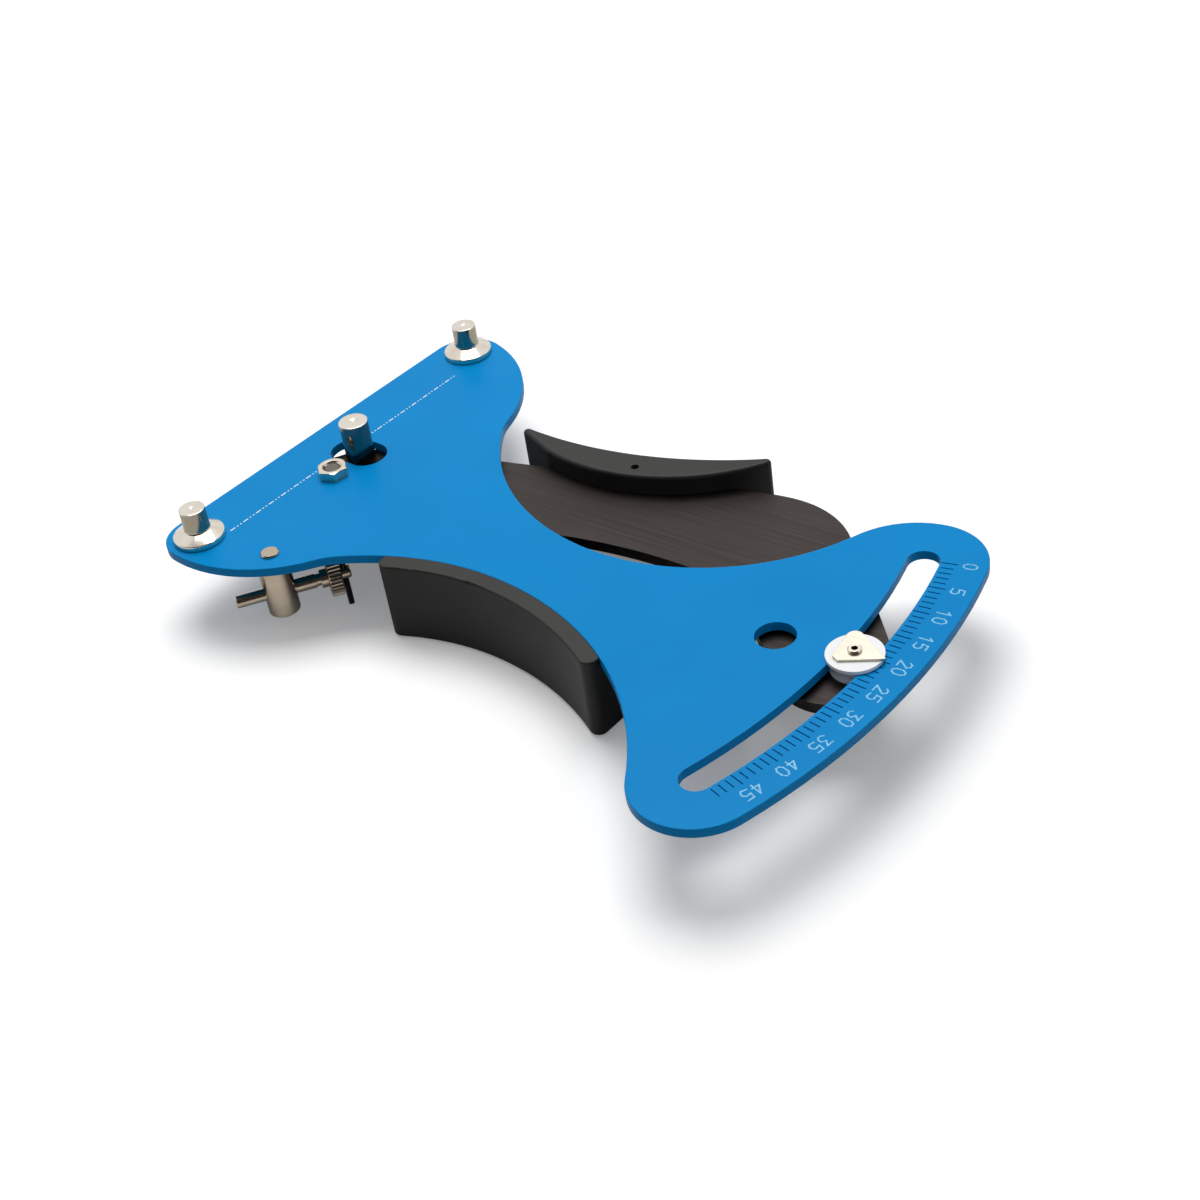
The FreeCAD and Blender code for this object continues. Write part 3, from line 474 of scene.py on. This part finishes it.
wire = Finish("spring_steel")
drawn = wire.noise(1700.0, 3.0)
spring_steel = wire.close(
    base_color=wire.blend(drawn, (0.022, 0.021, 0.020, 1.0), (0.060, 0.056, 0.052, 1.0)),
    metallic=1.0, roughness=drawn * 0.15 + 0.26, normal=wire.bump(drawn, 0.006 * MM))
print("materials made:", len(bpy.data.materials))

# %% [markdown]
# Each CAD node that keeps its own shape gets its finish through its material slots.

# %% Dress the CAD nodes
dress = {
    "scale_plate": blue_enamel, "lever_plate": dark_steel, "pivot_nut": nut_nickel,
    "pivot_bolt": pivot_steel, "spring_retainer": zinc_steel, "pivot_bush": bush_bronze,
    "upper_thrust_washer": white_nylon, "lower_thrust_washer": white_nylon,
    "spring_sleeve": white_nylon, "pointer_bush": white_nylon, "pointer_washer": white_nylon,
    "pointer": pointer_nickel, "pointer_rivet": rivet_nickel, "moving_grip": grip_plastic,
    "fixed_grip": grip_plastic, "moving_grip_pin": spring_steel,
    "fixed_grip_screws": zinc_steel, "adjuster_post": barrel_steel,
    "adjuster_rod": barrel_steel, "adjuster_collar": barrel_steel,
    "adjuster_nut": barrel_steel,
}


def wear(piece, material):
    if not piece.material_slots:
        piece.data.materials.append(material)
    for slot in piece.material_slots:
        slot.link = "OBJECT"
        slot.material = material


for name, material in dress.items():
    wear(nodes[name], material)

# %% [markdown]
# ## Filled marks
#
# The figures and the guide line are filled with pale paint, almost level with the plate.
# Their pockets are already in the plate's mesh, so the fill is made from it: a copy keeps
# only the pocket floors of those marks, and lifts them most of the way up.

# %% Paint fill
MARK_FILL_UP = 0.20 * MM
FIGURES_FROM = 164.9 * MM
FIGURES_TO = 170.0 * MM
GUIDE_STRIP = (-5.6 * MM, -5.0 * MM)
BETWEEN_MARKS = 100.0 * MM
FLOOR_SLACK = 0.02 * MM
WELD = 1e-7


def is_filled(face):
    place = face.center - PIVOT
    if abs(place.z + MARK_DEPTH) > FLOOR_SLACK:
        return False
    in_figures = FIGURES_FROM < Vector((place.x, place.y)).length < FIGURES_TO
    in_guide = GUIDE_STRIP[0] < place.x < GUIDE_STRIP[1]
    return in_figures or in_guide


def mesh_copy(name, node_name):
    bpy.ops.object.select_all(action="DESELECT")
    copy = bpy.data.objects.new(name, nodes[node_name].data.copy())
    copy.data.materials.clear()
    bpy.context.collection.objects.link(copy)
    copy.select_set(True)
    bpy.context.view_layer.objects.active = copy
    bpy.ops.object.mode_set(mode="EDIT")
    bpy.ops.mesh.select_mode(type="FACE")
    bpy.ops.mesh.select_all(action="SELECT")
    bpy.ops.mesh.remove_doubles(threshold=WELD)
    bpy.ops.mesh.select_all(action="DESELECT")
    bpy.ops.object.mode_set(mode="OBJECT")
    return copy


mark_fill = mesh_copy("mark_fill", "scale_plate")
for face in mark_fill.data.polygons:
    face.select = not is_filled(face)
bpy.ops.object.mode_set(mode="EDIT")
bpy.ops.mesh.delete(type="FACE")
bpy.ops.mesh.select_all(action="SELECT")
bpy.ops.transform.translate(value=(0.0, 0.0, MARK_FILL_UP))
bpy.ops.object.mode_set(mode="OBJECT")
filling = Finish("mark_fill")
chalky = filling.noise(2400.0, 2.0).spread(0.35, 0.65, 0.0, 1.0)
out_there = filling.radius(PIVOT).over(BETWEEN_MARKS)
cyan = filling.blend(chalky, (0.10, 0.42, 0.72, 1.0), (0.30, 0.66, 0.88, 1.0))
white = filling.blend(chalky, (0.78, 0.88, 0.93, 1.0), (0.95, 0.97, 0.98, 1.0))
wear(mark_fill, filling.close(base_color=filling.blend(out_there, white, cyan),
                              roughness=chalky * 0.2 + 0.5))
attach(mark_fill, "frame")
print("mark fill faces:", len(mark_fill.data.polygons))

# %% [markdown]
# ## Posts from the lathe
#
# A turned post is one outline carried round its axis. Here it starts as a disc, and each
# step of the outline is an extrude and a resize. The top has the small dimple that the
# centre drill leaves, and a Bevel modifier breaks every sharp corner, because a polished
# edge is only seen by the thin highlight along it.

# %% Lathe
LATHE_STEPS = 96
CORNER_ANGLE = 0.4
ROUND_ANGLE = 0.7


def lathe(name, spot, outline, edge_mm):
    bpy.ops.object.select_all(action="DESELECT")
    first_r, first_z = outline[0]
    foot = at(spot[0], spot[1], first_z)
    bpy.ops.mesh.primitive_circle_add(vertices=LATHE_STEPS, radius=first_r * MM,
                                      fill_type="NGON", location=foot)
    piece = bpy.context.object
    piece.name = name
    bpy.ops.object.mode_set(mode="EDIT")
    bpy.ops.mesh.select_all(action="SELECT")
    for (r_before, z_before), (r, z) in zip(outline, outline[1:]):
        bpy.ops.mesh.extrude_region_move(
            TRANSFORM_OT_translate={"value": (0.0, 0.0, (z - z_before) * MM)})
        bpy.ops.transform.resize(value=(r / r_before, r / r_before, 1.0), center_override=foot)
    bpy.ops.mesh.select_all(action="SELECT")
    bpy.ops.mesh.remove_doubles(threshold=WELD)
    bpy.ops.mesh.normals_make_consistent(inside=False)
    bpy.ops.object.mode_set(mode="OBJECT")
    bpy.ops.object.transform_apply(location=True, rotation=True, scale=True)
    soften = piece.modifiers.new("broken_corners", "BEVEL")
    soften.width = edge_mm * MM
    soften.segments = 3
    soften.limit_method = "ANGLE"
    soften.angle_limit = CORNER_ANGLE
    bpy.ops.object.modifier_apply(modifier=soften.name)
    bpy.ops.object.shade_smooth_by_angle(angle=ROUND_ANGLE)
    print(name, "faces:", len(piece.data.polygons))
    return piece


# %% [markdown]
# Each fixed post stands on the plate with a collar under a conical shoulder, and its tail is
# riveted over under the plate. An outline is a list of radius and height, from the foot up.

# %% Fixed posts
PLATE_T = 2.3
POST_TOP = 8.9
POST_R = 3.27
TAIL_R = 2.0
RIVET_R = 3.2
RIVET_H = 0.8
COLLAR_R = 6.5
COLLAR_H = 1.5
fixed_outline = [(RIVET_R - 0.3, -PLATE_T - RIVET_H), (RIVET_R, -PLATE_T - RIVET_H + 0.3),
                 (RIVET_R, -PLATE_T), (TAIL_R, -PLATE_T), (TAIL_R, 0.0), (COLLAR_R, 0.0),
                 (COLLAR_R, COLLAR_H), (POST_R + 0.18, COLLAR_H + 1.45),
                 (POST_R, COLLAR_H + 1.7), (POST_R, POST_TOP), (0.7, POST_TOP),
                 (0.15, POST_TOP - 0.25)]
for name, spot in (("fixed_post_left", LEFT_POST), ("fixed_post_right", RIGHT_POST)):
    post = lathe(name + "_turned", spot, fixed_outline, 0.16)
    wear(post, post_finish[name])
    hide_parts(name)
    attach(post, "frame")

# %% [markdown]
# The lever's post is plain and a little thicker. It comes up through the opening in the
# plate, and its foot is riveted over under the lever.

# %% Centre post
LEVER_TOP = -3.1
LEVER_LOW = -5.9
CENTRE_TOP = 9.5
CENTRE_R = 3.8
CENTRE_TAIL_R = 2.5
CENTRE_RIVET_R = 3.0
centre_outline = [(CENTRE_RIVET_R - 0.3, LEVER_LOW - RIVET_H),
                  (CENTRE_RIVET_R, LEVER_LOW - RIVET_H + 0.3), (CENTRE_RIVET_R, LEVER_LOW),
                  (CENTRE_TAIL_R, LEVER_LOW), (CENTRE_TAIL_R, LEVER_TOP),
                  (CENTRE_R, LEVER_TOP), (CENTRE_R, CENTRE_TOP), (0.8, CENTRE_TOP),
                  (0.15, CENTRE_TOP - 0.25)]
centre_post = lathe("centre_post_turned", CENTRE_POST, centre_outline, 0.18)
wear(centre_post, post_finish["centre_post"])
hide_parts("centre_post")
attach(centre_post, "lever")

# %% [markdown]
# ## The spring, parted where it bends
#
# One end of the wire stands in the lever and turns with it, and the other stands in the
# forked rod and stays. The coil between them twists. So a copy of the spring is parted by
# place into its two upright legs and the coil: each leg rides on what holds it, and the
# coil is attached to no body.

# %% Part the spring
LEG_IN_LEVER = (14.0, 0.45)
LEG_IN_ROD = (20.33, -19.41)
LEG_REACH = 2.75
WIRE_ANGLE = 0.8


def near_spot(face, spot):
    middle = face.center
    place = at(spot[0], spot[1])
    return (middle.x - place.x) ** 2 + (middle.y - place.y) ** 2 < (LEG_REACH * MM) ** 2


def part_off(piece, spot, name):
    bpy.ops.object.select_all(action="DESELECT")
    piece.select_set(True)
    bpy.context.view_layer.objects.active = piece
    bpy.ops.object.mode_set(mode="EDIT")
    bpy.ops.mesh.select_mode(type="FACE")
    bpy.ops.mesh.select_all(action="DESELECT")
    bpy.ops.object.mode_set(mode="OBJECT")
    for face in piece.data.polygons:
        face.select = near_spot(face, spot)
    bpy.ops.object.mode_set(mode="EDIT")
    bpy.ops.mesh.separate(type="SELECTED")
    bpy.ops.object.mode_set(mode="OBJECT")
    leg = [o for o in bpy.context.selected_objects if o is not piece][0]
    leg.name = name
    return leg


coil = mesh_copy("spring_coil", "torsion_spring")
lever_leg = part_off(coil, LEG_IN_LEVER, "spring_lever_leg")
rod_leg = part_off(coil, LEG_IN_ROD, "spring_rod_leg")
for piece in (coil, lever_leg, rod_leg):
    bpy.ops.object.select_all(action="DESELECT")
    piece.select_set(True)
    bpy.context.view_layer.objects.active = piece
    bpy.ops.object.shade_smooth_by_angle(angle=WIRE_ANGLE)
    wear(piece, spring_steel)
    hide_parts("torsion_spring")
    print(piece.name, "faces:", len(piece.data.polygons))
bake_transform(coil)
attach(lever_leg, "lever")
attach(rod_leg, "frame")
